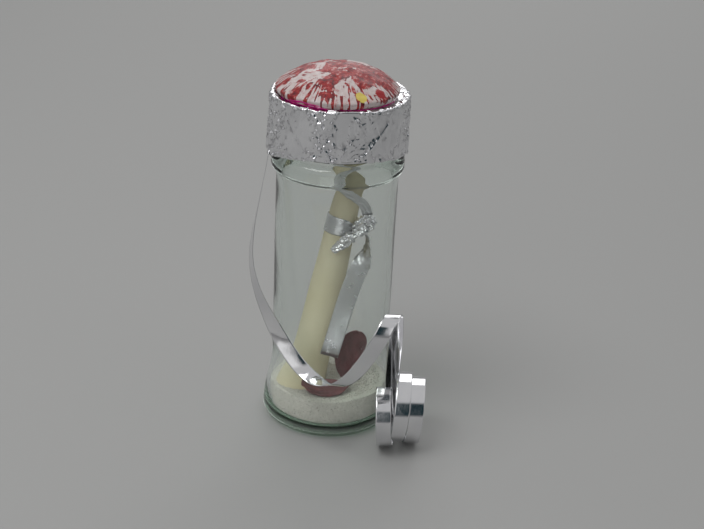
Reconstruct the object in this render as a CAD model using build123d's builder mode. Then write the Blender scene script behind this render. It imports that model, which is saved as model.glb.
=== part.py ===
from build123d import *
import os
from math import cos, pi, radians, sin, sqrt, tan

# A message in a bottle: a small screw-top glass jar with sand, two dried petals and a
# rolled letter inside, a foil-wrapped cap with a painted dome glued on top, and a curled
# gift ribbon tied round the neck. Lengths are millimetres. Z is up, -Y faces the viewer
# and the origin is the middle of the foot that the jar stands on.

# Glass jar
heel_radius = 23.0
heel_round = 1.8
body_radius = 20.2
flare_height = 24.0
jar_wall = 2.2
floor_height = 3.4
floor_corner = 2.6
stand_width = 1.8
punt_depth = 1.4
punt_slope = 2.2
ring_radius = 21.85
ring_height = 6.0
ring_slope = 1.0
ring_undercut = 0.7
jar_height = 112.6
neck_length = 21.2
neck_radius = 19.1
neck_wall = 2.4
shoulder_depth = 8.0
soft_round = 0.6
shoulder_round = 5.0

# Screw thread, one ridge on the neck and one in the cap
thread_pitch = 4.0
thread_depth = 1.0
thread_root = 1.8
thread_crest = 0.8
thread_turns = 1.3
thread_clearance = 0.5
thread_drop = 3.8
thread_sink = 0.2

# Cap
cap_wall = 1.2
cap_top_thickness = 1.2
cap_gap_over_ring = 2.6
cap_edge_round = 0.8
liner_thickness = 1.3
liner_edge_gap = 0.3
lip_gap = 0.3

# Foil, film, glue and dome on the cap
foil_gap = 0.15
foil_thickness = 0.35
foil_fold = 0.4
foil_folds = 44
foil_overhang = 1.0
foil_rim = 1.2
foil_rim_width = 1.0
film_thickness = 0.15
film_inset = 1.6
stack_gap = 0.05
dome_gap = 1.2
dome_height = 7.5
dome_edge = 2.2
dome_foot_inset = 1.4
dome_wall = 1.6
dome_shift = 1.0
dome_foot_heading = (1, 1)
glue_radius = 7.0
glue_height = 4.4
glue_taper = 12.0

# Sand
sand_depth = 10.2
sand_gap = 0.1
sand_tilt = 2.4
sand_heading = 60.0
sand_hole_gap = 0.3

# Rolled letter, a slightly conical roll that leans on the neck
roll_foot = (-8.46, -4.0, 10.0)
roll_lean = (16.92, 12.0, 95.0)
roll_shortfall = 15.1
roll_foot_radius = 7.7
roll_top_radius = 3.7
roll_turns = 3
roll_layer_share = 0.085
roll_pitch_share = 0.13

# Gift ribbon
ribbon_width = 5.0
ribbon_thickness = 0.3
ribbon_step = 3.0
ribbon_span = 12
corner_share = 0.45
ribbon_gap = 0.1

# Ribbon tied round the letter
tie_ribbon_width = 6.1
riser_width = 3.4
band_height = 58.0
tie_knot_offset = (7.34, -5.07, 2.1)
tie_knot_length = 7.6
tie_knot_radius = 2.5
tie_knot_aim = (0.75, -0.1, 0.45)
twist_offsets = [(8.04, -9.13, 2.96), (3.04, -8.83, -1.35), (-2.56, -8.13, -6.65)]
twist_radius = 1.3
twist_sides = 6

# Free ends of the letter's ribbon, points picked by hand
tail_route = [
    (11.0, -4.2, 69.2),
    (11.5, -5.2, 64.8),
    (9.9, -6.4, 61.2),
    (7.9, -7.1, 57.0),
    (5.2, -7.9, 48.0),
    (2.9, -9.4, 38.6),
    (-0.2, -11.2, 26.6),
]
tail_twist_shares = (0.06, 0.24)
tail_first_twist = 80.0
riser_route = [
    (10.6, -1.8, 75.2),
    (9.9, -2.4, 78.6),
    (7.0, -3.2, 81.2),
    (3.8, -4.2, 84.0),
    (1.4, -5.2, 87.4),
    (0.2, -6.2, 91.6),
    (-0.2, -7.4, 96.4),
    (-0.2, -8.0, 103.4),
]

# Petals
petal_thickness = 0.5
petal_cup_radius = 16.0
standing_petal_size = (10.4, 17.6)
standing_petal_spot = (6.9, 1.4)
standing_petal_face = (0.25, -0.95, 0.1)
standing_petal_turn = 20.0
lying_petal_size = (16.0, 8.6)
lying_petal_offset = (9.46, -8.2)
lying_petal_face = (0.05, -0.3, 0.95)
lying_petal_turn = 4.0
standing_petal_rise = -0.6
lying_petal_rise = 0.8

# Ribbon round the jar's neck, its free stretch and its curl
tie_thickness = 0.4
tie_height = 1.8
tie_rise = 0.3
tie_gap = 0.1
exit_angle = 198.0
exit_length = 3.2
exit_radius = 0.5
drop_route = [
    (-22.0, -7.2, 98.7),
    (-23.2, -7.8, 91.2),
    (-24.8, -8.9, 82.2),
    (-26.6, -10.5, 72.6),
    (-27.4, -13.0, 62.6),
    (-25.3, -15.6, 53.4),
    (-21.1, -18.0, 44.6),
    (-16.0, -20.6, 36.2),
    (-10.4, -23.4, 29.0),
    (-3.6, -28.0, 25.2),
    (2.6, -33.2, 27.0),
    (7.4, -36.6, 32.4),
    (11.6, -38.2, 39.6),
    (15.2, -38.6, 46.8),
    (17.8, -37.0, 52.0),
    (19.5, -33.0, 54.2),
    (20.8, -28.2, 52.0),
    (21.5, -23.4, 44.4),
    (21.8, -18.2, 35.2),
    (21.9, -13.2, 26.2),
    (21.9, -10.8, 18.3),
    (22.2, -10.8, 11.6),
]
drop_twist_shares = (0.06, 0.38)
drop_first_twist = 90.0
curl_step = 2.0
curl_samples = 160

# Curl: where the ribbon passes the back, bottom, front and top of each turn
curl_stations = [
    ((22.2, -10.8, 11.5), "down"),
    ((20.6, -22.2, 0.3), "forward"),
    ((18.6, -34.2, 11.8), "up"),
    ((18.4, -24.6, 21.4), "back"),
    ((20.0, -15.6, 11.6), "down"),
    ((22.0, -23.0, 2.4), "forward"),
    ((24.4, -33.0, 13.2), "up"),
    ((25.6, -21.0, 25.0), "back"),
    ((27.4, -8.6, 12.8), "down"),
    ((28.0, -20.6, 0.3), "forward"),
    ((29.4, -31.0, 12.0), "up"),
    ((30.2, -20.6, 23.3), "back"),
    ((31.8, -10.2, 13.2), "down"),
]
curl_headings = {"down": (0, -1), "forward": (-1, 0), "up": (0, 1), "back": (1, 0)}
curl_sideways_share = 0.06

# Sizes that follow from those above
stand_radius = heel_radius - heel_round
body_inner_radius = body_radius - jar_wall
heel_inner_radius = heel_radius - jar_wall - stack_gap
bore_radius = neck_radius - neck_wall
floor_corner_top = floor_height + floor_corner
ring_bottom = jar_height - neck_length
ring_top = ring_bottom + ring_height
neck_foot = ring_top + ring_slope
thread_radius = neck_radius + thread_depth
cap_inner_radius = thread_radius + thread_clearance
cap_radius = cap_inner_radius + cap_wall
cap_bottom = neck_foot + cap_gap_over_ring
liner_bottom = jar_height + lip_gap
cap_top = liner_bottom + liner_thickness + cap_top_thickness
foil_inner_radius = cap_radius + foil_gap
foil_radius = foil_inner_radius + foil_thickness
foil_bottom = cap_bottom - foil_overhang
foil_top = cap_top + stack_gap + foil_thickness
film_bottom = foil_top + stack_gap
dome_foot = film_bottom + film_thickness + stack_gap
dome_edge_height = dome_foot + dome_edge
dome_top = dome_edge_height + dome_height
dome_radius = foil_radius - foil_rim_width - dome_gap
dome_curve = (dome_radius**2 + dome_height**2) / (2 * dome_height)
sand_bottom = floor_height + sand_gap
sand_top = floor_height + sand_depth
roll_length = jar_height - roll_shortfall
lying_petal_spot = (roll_foot[0] + lying_petal_offset[0], roll_foot[1] + lying_petal_offset[1])
tie_bottom = neck_foot + tie_rise
tie_inner_radius = neck_radius + tie_gap
tie_radius = tie_inner_radius + tie_thickness


def halfway(first, second):
    """The point in the middle of two points of an outline."""
    return ((first[0] + second[0]) / 2, (first[1] + second[1]) / 2)


def flare(low, high, heading):
    """Two arcs that leave the first point along the heading and arrive parallel to it."""
    middle = halfway(low, high)
    start = TangentArc(low, middle, tangent=heading)
    return TangentArc(middle, high, tangent=start % 1)


def thread_ridge(base_radius, crest_radius, bottom, turns, sink):
    """One helical ridge that grows out of a wall at the base radius."""
    path = Helix(
        pitch=thread_pitch, height=turns * thread_pitch, radius=base_radius,
        center=(0, 0, bottom), mode=Mode.PRIVATE,
    )
    outward = 1 if crest_radius > base_radius else -1
    depth = abs(crest_radius - base_radius)
    across = Plane(origin=path @ 0, x_dir=(outward, 0, 0), z_dir=path % 0)
    with BuildSketch(across, mode=Mode.PRIVATE) as section:
        Polygon(
            (-sink, -thread_root / 2),
            (depth, -thread_crest / 2),
            (depth, thread_crest / 2),
            (-sink, thread_root / 2),
            align=None,
        )
    sweep(section.sketch, path=path, is_frenet=True)


# Jar of clear glass, with a punt below, a flared heel, a ring under the cap and a thread
with BuildPart() as glass_jar:
    with BuildSketch(Plane.XZ):
        with BuildLine():
            Line((0, punt_depth), (stand_radius - stand_width - punt_slope, punt_depth))
            Line(
                (stand_radius - stand_width - punt_slope, punt_depth),
                (stand_radius - stand_width, 0),
            )
            Line((stand_radius - stand_width, 0), (stand_radius, 0))
            TangentArc((stand_radius, 0), (heel_radius, heel_round), tangent=(1, 0))
            flare((heel_radius, heel_round), (body_radius, flare_height), (0, 1))
            FilletPolyline(
                (body_radius, flare_height),
                (body_radius, ring_bottom - ring_undercut),
                (ring_radius, ring_bottom),
                (ring_radius, ring_top),
                (neck_radius, neck_foot),
                (neck_radius, jar_height),
                (bore_radius, jar_height),
                (bore_radius, ring_top),
                (body_inner_radius, ring_top - shoulder_depth),
                (body_inner_radius, flare_height),
                radius=[
                    soft_round, soft_round / 2, soft_round, soft_round,
                    soft_round, soft_round, shoulder_round, shoulder_round,
                ],
            )
            flare(
                (body_inner_radius, flare_height), (heel_inner_radius, floor_corner_top), (0, -1)
            )
            TangentArc(
                (heel_inner_radius, floor_corner_top),
                (heel_inner_radius - floor_corner, floor_height),
                tangent=(0, -1),
            )
            Line((heel_inner_radius - floor_corner, floor_height), (0, floor_height))
            Line((0, floor_height), (0, punt_depth))
        make_face()
    revolve(axis=Axis.Z)
    thread_bottom = cap_bottom + thread_drop
    thread_ridge(neck_radius, thread_radius, thread_bottom, thread_turns, thread_sink)
glass_jar.part.label = "glass_jar"

# Plastic cap with its thread half a pitch away from the jar's
with BuildPart() as cap_shell:
    with BuildSketch(Plane.XY.offset(cap_bottom)):
        Circle(cap_radius)
    extrude(amount=cap_top - cap_bottom)
    fillet(cap_shell.faces().sort_by(Axis.Z)[-1].edges(), cap_edge_round)
    with BuildSketch(Plane.XY.offset(cap_bottom)):
        Circle(cap_inner_radius)
    extrude(amount=cap_top - cap_top_thickness - cap_bottom, mode=Mode.SUBTRACT)
    thread_ridge(
        cap_inner_radius, cap_inner_radius - thread_depth, thread_bottom - thread_pitch / 2,
        thread_turns, thread_sink,
    )
cap_shell.part.label = "cap_shell"

# Soft disc that seals on the lip
with BuildPart() as cap_liner:
    with BuildSketch(Plane.XY.offset(liner_bottom)):
        Circle(cap_inner_radius - liner_edge_gap)
    extrude(amount=liner_thickness)
cap_liner.part.label = "cap_liner"


def folded_outline():
    """Corners of the foil's outside, pressed into upright folds."""
    corners = []
    for fold in range(2 * foil_folds):
        angle = pi * fold / foil_folds
        reach = foil_radius + (foil_fold if fold % 2 else 0)
        corners.append((reach * cos(angle), reach * sin(angle)))
    return corners


# One sheet of kitchen foil, wrapped over the cap and pressed into folds round it
with BuildPart() as foil_wrap:
    with BuildSketch(Plane.XY.offset(foil_bottom)):
        Polygon(*folded_outline(), align=None)
    extrude(amount=foil_top + foil_rim - foil_bottom)
    with BuildSketch(Plane.XY.offset(foil_bottom)):
        Circle(foil_inner_radius)
    extrude(amount=cap_top + stack_gap - foil_bottom, mode=Mode.SUBTRACT)
    with BuildSketch(Plane.XY.offset(foil_top)):
        Circle(foil_radius - foil_rim_width)
    extrude(amount=foil_rim, mode=Mode.SUBTRACT)
foil_wrap.part.label = "foil_wrap"

# Thin coloured film between the foil and the dome
with BuildPart() as film_disc:
    with BuildSketch(Plane.XY.offset(film_bottom)):
        Circle(foil_radius - foil_rim_width - film_inset / 2)
    extrude(amount=film_thickness)
film_disc.part.label = "film_disc"

# Painted dome, a shell that stands on the film a little left of the middle
dome_plane = Plane(origin=(-dome_shift, 0, 0), x_dir=(1, 0, 0), z_dir=(0, -1, 0))
with BuildPart() as painted_dome:
    with BuildSketch(dome_plane):
        with BuildLine():
            Line(
                (dome_radius - dome_foot_inset - dome_wall, dome_foot),
                (dome_radius - dome_foot_inset, dome_foot),
            )
            TangentArc(
                (dome_radius - dome_foot_inset, dome_foot), (dome_radius, dome_edge_height),
                tangent=dome_foot_heading,
            )
            RadiusArc((dome_radius, dome_edge_height), (0, dome_top), -dome_curve)
            Line((0, dome_top), (0, dome_top - dome_wall))
            RadiusArc(
                (0, dome_top - dome_wall),
                (dome_radius - dome_foot_inset - dome_wall, dome_edge_height - dome_wall / 2),
                dome_curve,
            )
            Line(
                (dome_radius - dome_foot_inset - dome_wall, dome_edge_height - dome_wall / 2),
                (dome_radius - dome_foot_inset - dome_wall, dome_foot),
            )
        make_face()
    revolve(axis=Axis((-dome_shift, 0, 0), (0, 0, 1)))
painted_dome.part.label = "painted_dome"

# Pad of putty that holds the dome on
with BuildPart() as glue_pad:
    with BuildSketch(Plane.XY.offset(dome_foot)):
        Circle(glue_radius)
    extrude(amount=glue_height, taper=glue_taper)
glue_pad.part.label = "glue_pad"

# Frame of the rolled letter: its axis, and a plane that holds the axis
roll_origin = Vector(roll_foot)
roll_axis = Vector(roll_lean).normalized()
roll_side = (Vector(1, 0, 0) - roll_axis * roll_axis.X).normalized()
roll_plane = Plane(origin=roll_origin, x_dir=roll_side, z_dir=roll_axis)
roll_upright = Plane(origin=roll_origin, x_dir=roll_side, z_dir=roll_side.cross(roll_axis))
roll_line = Axis(roll_origin, roll_axis)


def roll_radius(height):
    """Outer radius of the roll at a height along its own axis."""
    return roll_foot_radius + (roll_top_radius - roll_foot_radius) * height / roll_length


def spiral_corners(radius, inset_share):
    """Where a spiral of half circles meets the roll's side direction, from outside to inside."""
    corners = []
    for half in range(2 * roll_turns + 1):
        reach = radius * (1 - inset_share - roll_pitch_share * half / 2)
        corners.append((reach if half % 2 == 0 else -reach, 0))
    return corners


def spiral_line(corners, first_side):
    """Half circles through the corners, above and below by turns."""
    side = first_side
    for start, end in zip(corners, corners[1:]):
        middle = halfway(start, end)
        rise = abs(end[0] - start[0]) / 2
        ThreePointArc(start, (middle[0], middle[1] + side * rise), end)
        side = -side


def spiral_face(radius):
    """Cross-section of the rolled sheet."""
    outside = spiral_corners(radius, 0)
    inside = spiral_corners(radius, roll_layer_share)
    with BuildLine(mode=Mode.PRIVATE) as outline:
        spiral_line(outside, 1)
        Line(outside[-1], inside[-1])
        spiral_line(inside[::-1], -1)
        Line(inside[0], outside[0])
    make_face(outline.edges())


# Rolled letter
with BuildPart() as message_scroll:
    with BuildSketch(roll_plane):
        spiral_face(roll_foot_radius)
    with BuildSketch(roll_plane.offset(roll_length)):
        spiral_face(roll_top_radius)
    loft(ruled=True)
message_scroll.part.label = "message_scroll"

# Bed of sand, level but for a slight slope, with a hollow where the letter stands
sand_surface = Plane(
    origin=(0, 0, sand_top),
    z_dir=(
        -sin(radians(sand_tilt)) * cos(radians(sand_heading)),
        -sin(radians(sand_tilt)) * sin(radians(sand_heading)),
        cos(radians(sand_tilt)),
    ),
)
flare_middle = halfway((heel_inner_radius, floor_corner_top), (body_inner_radius, flare_height))
with BuildPart() as sand:
    with BuildSketch(Plane.XZ):
        with BuildLine():
            Line((0, sand_bottom), (heel_inner_radius - floor_corner, sand_bottom))
            TangentArc(
                (heel_inner_radius - floor_corner, sand_bottom),
                (heel_inner_radius - sand_gap, floor_corner_top),
                tangent=(1, 0),
            )
            TangentArc(
                (heel_inner_radius - sand_gap, floor_corner_top),
                (flare_middle[0] - sand_gap, flare_middle[1]),
                tangent=(0, 1),
            )
            Line((flare_middle[0] - sand_gap, flare_middle[1]), (0, flare_middle[1]))
            Line((0, flare_middle[1]), (0, sand_bottom))
        make_face()
    revolve(axis=Axis.Z)
    split(bisect_by=sand_surface, keep=Keep.BOTTOM)
    with BuildSketch(roll_plane.offset(-sand_hole_gap)):
        Circle(roll_foot_radius + sand_hole_gap)
    extrude(amount=sand_depth, mode=Mode.SUBTRACT)
sand.part.label = "sand"


def petal_solid(size, place, face, turn):
    """A thin cupped leaf of a given width and length that faces a direction and leans right."""
    facing = Vector(face).normalized()
    level = Vector(0, 0, 1).cross(facing).normalized()
    steep = facing.cross(level)
    across = level * cos(radians(turn)) - steep * sin(radians(turn))
    plane = Plane(origin=place, x_dir=across, z_dir=facing)
    centre = Plane(origin=plane.origin + plane.z_dir * petal_cup_radius, z_dir=plane.z_dir)
    with BuildSketch(plane.offset(-petal_cup_radius), mode=Mode.PRIVATE) as outline:
        Ellipse(size[0] / 2, size[1] / 2)
    extrude(outline.sketch, amount=2 * petal_cup_radius)
    with Locations(centre):
        Sphere(petal_cup_radius, mode=Mode.INTERSECT)
        Sphere(petal_cup_radius - petal_thickness, mode=Mode.SUBTRACT)


def above_sand(spot, rise):
    """A place a given height over the sand's sloping surface."""
    slope = tan(radians(sand_tilt))
    uphill = spot[0] * cos(radians(sand_heading)) + spot[1] * sin(radians(sand_heading))
    return (spot[0], spot[1], sand_top + slope * uphill + rise)


with BuildPart() as standing_petal:
    petal_solid(
        standing_petal_size,
        above_sand(standing_petal_spot, standing_petal_rise + standing_petal_size[1] / 2),
        standing_petal_face,
        standing_petal_turn,
    )
standing_petal.part.label = "standing_petal"

with BuildPart() as lying_petal:
    petal_solid(
        lying_petal_size,
        above_sand(lying_petal_spot, lying_petal_rise),
        lying_petal_face,
        lying_petal_turn,
    )
lying_petal.part.label = "lying_petal"

# Ribbon round the letter
band_top = band_height + tie_ribbon_width
band_middle = roll_origin + roll_axis * (band_height + tie_ribbon_width / 2)
with BuildPart() as scroll_band:
    with BuildSketch(roll_upright):
        Polygon(
            (roll_radius(band_height) + ribbon_gap, band_height),
            (roll_radius(band_height) + ribbon_gap + ribbon_thickness, band_height),
            (roll_radius(band_top) + ribbon_gap + ribbon_thickness, band_top),
            (roll_radius(band_top) + ribbon_gap, band_top),
            align=None,
        )
    revolve(axis=roll_line)
scroll_band.part.label = "scroll_band"

# Pulled-tight knot at the letter's right
knot_place = band_middle + Vector(tie_knot_offset)
knot_aim = Vector(tie_knot_aim).normalized()
knot_plane = Plane(origin=knot_place, x_dir=knot_aim, z_dir=knot_aim.cross(Vector(0, 0, 1)))
with BuildPart() as scroll_knot:
    with BuildSketch(knot_plane):
        with BuildLine():
            EllipticalCenterArc(
                (0, 0), tie_knot_length / 2, tie_knot_radius, start_angle=0, arc_size=180
            )
            Line((-tie_knot_length / 2, 0), (tie_knot_length / 2, 0))
        make_face()
    revolve(axis=Axis(knot_place, knot_aim))
scroll_knot.part.label = "scroll_knot"

# Twisted end of the ribbon that crosses the letter's front
with BuildPart() as ribbon_twist:
    with BuildLine() as twist_path:
        ThreePointArc(*[band_middle + Vector(offset) for offset in twist_offsets])
    with BuildSketch(Plane(origin=twist_path.line @ 0, z_dir=twist_path.line % 0)):
        RegularPolygon(twist_radius, twist_sides)
    sweep(path=twist_path.line)
ribbon_twist.part.label = "ribbon_twist"


def corner_radii(points):
    """The largest arc that the two runs at each corner allow."""
    radii = []
    for before, corner, after in zip(points, points[1:], points[2:]):
        arriving = Vector(corner) - Vector(before)
        leaving = Vector(after) - Vector(corner)
        half_turn = radians(arriving.get_angle(leaving)) / 2
        shorter = min(arriving.length, leaving.length)
        radii.append(corner_share * shorter / tan(half_turn))
    return radii


def ribbon_frame(place, along, twist):
    """Plane across the ribbon: X along its width, which turns from sideways to depth."""
    width = Vector(cos(radians(twist)), -sin(radians(twist)), 0)
    width = (width - along * width.dot(along)).normalized()
    return Plane(origin=place, x_dir=width, z_dir=along)


def strip_along(wire, longest_step, width, twist_shares=(0, 1), first_twist=0):
    """A flat ribbon along a wire, in short spans, that untwists between two shares of it."""
    steps = round(wire.length / longest_step)
    sections = []
    for step in range(steps + 1):
        share = step / steps
        begin, finish = twist_shares
        turned = min(1, max(0, (share - begin) / (finish - begin)))
        plane = ribbon_frame(wire @ share, wire % share, first_twist * (1 - turned**2))
        with BuildSketch(plane, mode=Mode.PRIVATE) as section:
            Rectangle(width, ribbon_thickness)
        sections.append(section.sketch)
    for first in range(0, steps, ribbon_span):
        loft(sections[first : first + ribbon_span + 1], ruled=True)


def route_wire(points):
    """Straight runs joined by the largest tangent arcs."""
    with BuildLine(mode=Mode.PRIVATE) as route:
        FilletPolyline(*points, radius=corner_radii(points))
    return route.wire()


def report_strip(name, solid, wire, points, width):
    """Prints a strip's radii and sets its volume against section times length."""
    expected = width * ribbon_thickness * wire.length
    radii = [round(radius, 1) for radius in corner_radii(points)]
    print(name, "length", round(wire.length, 1), "radii", radii)
    print(name, "volume", round(solid.volume, 1), "section times length", round(expected, 1))


# Ribbon's two free ends on the letter
tail_wire = route_wire(tail_route)
with BuildPart() as ribbon_tail:
    strip_along(
        tail_wire, ribbon_step, tie_ribbon_width, tail_twist_shares, tail_first_twist
    )
ribbon_tail.part.label = "ribbon_tail"
report_strip("ribbon_tail", ribbon_tail.part, tail_wire, tail_route, tie_ribbon_width)

riser_wire = route_wire(riser_route)
with BuildPart() as ribbon_riser:
    strip_along(riser_wire, ribbon_step, riser_width)
ribbon_riser.part.label = "ribbon_riser"
report_strip("ribbon_riser", ribbon_riser.part, riser_wire, riser_route, riser_width)

# Ribbon tied round the jar's neck, under the cap
with BuildPart() as neck_tie:
    with BuildSketch(Plane.XY.offset(tie_bottom)):
        Circle(tie_radius)
        Circle(tie_inner_radius, mode=Mode.SUBTRACT)
    extrude(amount=tie_height)
neck_tie.part.label = "neck_tie"

exit_aim = Vector(cos(radians(exit_angle)), sin(radians(exit_angle)), 0)
exit_start = exit_aim * (tie_radius + tie_gap) + Vector(0, 0, tie_bottom + tie_rise)
exit_plane = Plane(origin=exit_start, x_dir=exit_aim, z_dir=exit_aim.cross(Vector(0, 0, 1)))
with BuildPart() as neck_tie_knot:
    with BuildSketch(exit_plane):
        with BuildLine():
            Line((0, 0), (0, exit_radius / 2))
            ThreePointArc(
                (0, exit_radius / 2), (exit_length / 2, exit_radius), (exit_length, exit_radius / 2)
            )
            Line((exit_length, exit_radius / 2), (exit_length, 0))
            Line((exit_length, 0), (0, 0))
        make_face()
    revolve(axis=Axis(exit_start, exit_aim))
neck_tie_knot.part.label = "neck_tie_knot"

# Free stretch: down the jar's left side, under its front and up again
drop_wire = route_wire(drop_route)
with BuildPart() as ribbon_drop:
    strip_along(drop_wire, ribbon_step, ribbon_width, drop_twist_shares, drop_first_twist)
ribbon_drop.part.label = "ribbon_drop"
report_strip("ribbon_drop", ribbon_drop.part, drop_wire, drop_route, ribbon_width)


def curl_tangent(heading):
    """Direction of the ribbon at a station, with its steady drift to the right."""
    depth, height = curl_headings[heading]
    return Vector(curl_sideways_share, depth, height).normalized()


def biarc(start, leaving, end, arriving):
    """Two arcs that join two points and keep the direction at both."""
    chord = end - start
    total = leaving + arriving
    spread = 2 * (1 - leaving.dot(arriving))
    reach = (sqrt(chord.dot(total) ** 2 + spread * chord.dot(chord)) - chord.dot(total)) / spread
    middle = (start + leaving * reach + end - arriving * reach) * 0.5
    first = TangentArc(start, middle, tangent=leaving)
    TangentArc(middle, end, tangent=first % 1)


def self_gap(wire, count):
    """Least gap between turns, from points on the four long edges and the two middles."""
    rows = []
    for index in range(count + 1):
        share = index / count
        frame = ribbon_frame(wire @ share, wire % share, 0)
        half = frame.x_dir * (ribbon_width / 2)
        face = frame.y_dir * (ribbon_thickness / 2)
        middles = (frame.origin - half, frame.origin, frame.origin + half)
        rows.append([middle + side * face for middle in middles for side in (1, -1)])
    least = ribbon_width
    skip = count // len(curl_stations)
    for low in range(count + 1):
        for high in range(low + skip, count + 1):
            for one in rows[low]:
                for other in rows[high]:
                    least = min(least, (one - other).length)
    return least


# Curl at the end of the ribbon, three loops side by side in one unbroken strip
with BuildPart() as ribbon_curl:
    with BuildLine(mode=Mode.PRIVATE) as curl_path:
        for (place, heading), (next_place, next_heading) in zip(curl_stations, curl_stations[1:]):
            biarc(
                Vector(place), curl_tangent(heading), Vector(next_place), curl_tangent(next_heading)
            )
    curl_wire = curl_path.wire()
    strip_along(curl_wire, curl_step, ribbon_width)
ribbon_curl.part.label = "ribbon_curl"
curl_expected = curl_wire.length * ribbon_width * ribbon_thickness
print("ribbon_curl length", round(curl_wire.length, 1))
print("ribbon_curl volume", round(ribbon_curl.part.volume, 1), "expected", round(curl_expected, 1))
print("ribbon_curl least gap to itself", round(self_gap(curl_wire, curl_samples), 2))

os.makedirs("parts", exist_ok=True)
pieces = {
    "glass_jar": glass_jar,
    "cap_shell": cap_shell,
    "cap_liner": cap_liner,
    "foil_wrap": foil_wrap,
    "film_disc": film_disc,
    "glue_pad": glue_pad,
    "painted_dome": painted_dome,
    "message_scroll": message_scroll,
    "scroll_band": scroll_band,
    "scroll_knot": scroll_knot,
    "ribbon_twist": ribbon_twist,
    "ribbon_tail": ribbon_tail,
    "ribbon_riser": ribbon_riser,
    "sand": sand,
    "standing_petal": standing_petal,
    "lying_petal": lying_petal,
    "neck_tie": neck_tie,
    "neck_tie_knot": neck_tie_knot,
    "ribbon_drop": ribbon_drop,
    "ribbon_curl": ribbon_curl,
}
for name, piece in pieces.items():
    export_step(piece.part, f"parts/{name}.step")
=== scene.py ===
from math import cos, pi, radians, sin, sqrt, tan

import bpy
import numpy as np
from mathutils import Matrix, Vector
from mathutils.kdtree import KDTree


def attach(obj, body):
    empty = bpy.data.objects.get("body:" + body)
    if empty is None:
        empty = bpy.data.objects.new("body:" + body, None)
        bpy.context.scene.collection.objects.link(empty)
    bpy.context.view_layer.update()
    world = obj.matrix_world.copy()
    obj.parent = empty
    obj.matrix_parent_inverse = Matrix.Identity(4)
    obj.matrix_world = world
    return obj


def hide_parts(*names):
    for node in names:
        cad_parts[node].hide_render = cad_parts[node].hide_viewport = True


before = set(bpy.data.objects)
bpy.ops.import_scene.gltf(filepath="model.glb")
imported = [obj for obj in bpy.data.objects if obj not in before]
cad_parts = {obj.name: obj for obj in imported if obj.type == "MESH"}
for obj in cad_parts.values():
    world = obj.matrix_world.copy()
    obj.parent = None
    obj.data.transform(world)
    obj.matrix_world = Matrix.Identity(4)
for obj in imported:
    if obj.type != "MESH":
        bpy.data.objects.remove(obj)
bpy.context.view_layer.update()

# Looks of the message in a bottle. Lengths are metres, Z is up and -Y faces the camera.

# Camera, fitted to the photograph
camera_place = (0.0, -0.37035, 0.226405)
camera_lens = 61.23
camera_pitch = 0.4316
camera_yaw = 0.0171
camera_roll = 0.0501
camera_near = 0.01

# Studio. A light has a place, a size and a power.
floor_size = 6.0
floor_drop = 0.0001
floor_colour = (0.323, 0.323, 0.318)
floor_roughness = 0.75
floor_gloss = 0.2
room_strength = 0.62
room_low = (0.3, 0.3, 0.3)
room_high = (0.8, 0.8, 0.805)
room_rise = (0.0, 0.4)
front_depths = (-0.45, -0.7)
room_bright = (1.2, 1.2, 1.2)
bright_sides = ((-0.3, -0.2), (-0.02, -0.03))
bright_heights = ((0.09, 0.0), (0.18, 1.0), (0.64, 1.0), (0.74, 0.0))
room_dark = (0.012, 0.036, 0.046)
dark_sides = ((0.015, 0.05),)
dark_heights = ((0.02, 0.0), (0.1, 1.0), (0.64, 1.0), (0.74, 0.0))
light_aim = (0.0, 0.0, 0.05)
lights = {
    "key_light": ((-0.35, -0.25, 0.9), 0.5, 3.8),
    "front_light": ((-0.25, -1.0, 0.4), 0.7, 1.5),
    "back_light": ((0.1, 1.0, 0.8), 1.0, 4.5),
}
unmirrored_light = "front_light"

# Gift ribbon. A twist has its first angle and the distances where it begins and ends to fade.
ribbon_width = 0.005
ribbon_thickness = 0.00016
strip_columns = 13
route_order = 3
route_resolution = 6
drop_route = [
    (-0.0220, -0.0072, 0.0987),
    (-0.0232, -0.0078, 0.0912),
    (-0.0248, -0.0089, 0.0822),
    (-0.0266, -0.0105, 0.0726),
    (-0.0274, -0.0130, 0.0626),
    (-0.0253, -0.0156, 0.0534),
    (-0.0211, -0.0180, 0.0446),
    (-0.0160, -0.0206, 0.0362),
    (-0.0104, -0.0234, 0.0290),
    (-0.0036, -0.0280, 0.0252),
    (0.0026, -0.0332, 0.0270),
    (0.0074, -0.0366, 0.0324),
    (0.0116, -0.0382, 0.0396),
    (0.0152, -0.0386, 0.0468),
    (0.0178, -0.0370, 0.0520),
    (0.0195, -0.0330, 0.0542),
    (0.0208, -0.0282, 0.0520),
    (0.0215, -0.0234, 0.0444),
    (0.0218, -0.0182, 0.0352),
    (0.0219, -0.0132, 0.0262),
    (0.0219, -0.0108, 0.0183),
    (0.0222, -0.0108, 0.0116),
]
curl_stations = [
    (0.0222, -0.0108, 0.0115),
    (0.0206, -0.0222, 0.0003),
    (0.0186, -0.0342, 0.0118),
    (0.0184, -0.0246, 0.0214),
    (0.0200, -0.0156, 0.0116),
    (0.0220, -0.0230, 0.0024),
    (0.0244, -0.0330, 0.0132),
    (0.0256, -0.0210, 0.0250),
    (0.0274, -0.0086, 0.0128),
    (0.0280, -0.0206, 0.0003),
    (0.0294, -0.0310, 0.0120),
    (0.0302, -0.0206, 0.0233),
    (0.0318, -0.0102, 0.0132),
]
quarter_turn = 90.0
quarter_angles = (15.0, 45.0, 75.0)
gift_twist = (90.0, 0.0107, 0.0677)

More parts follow.
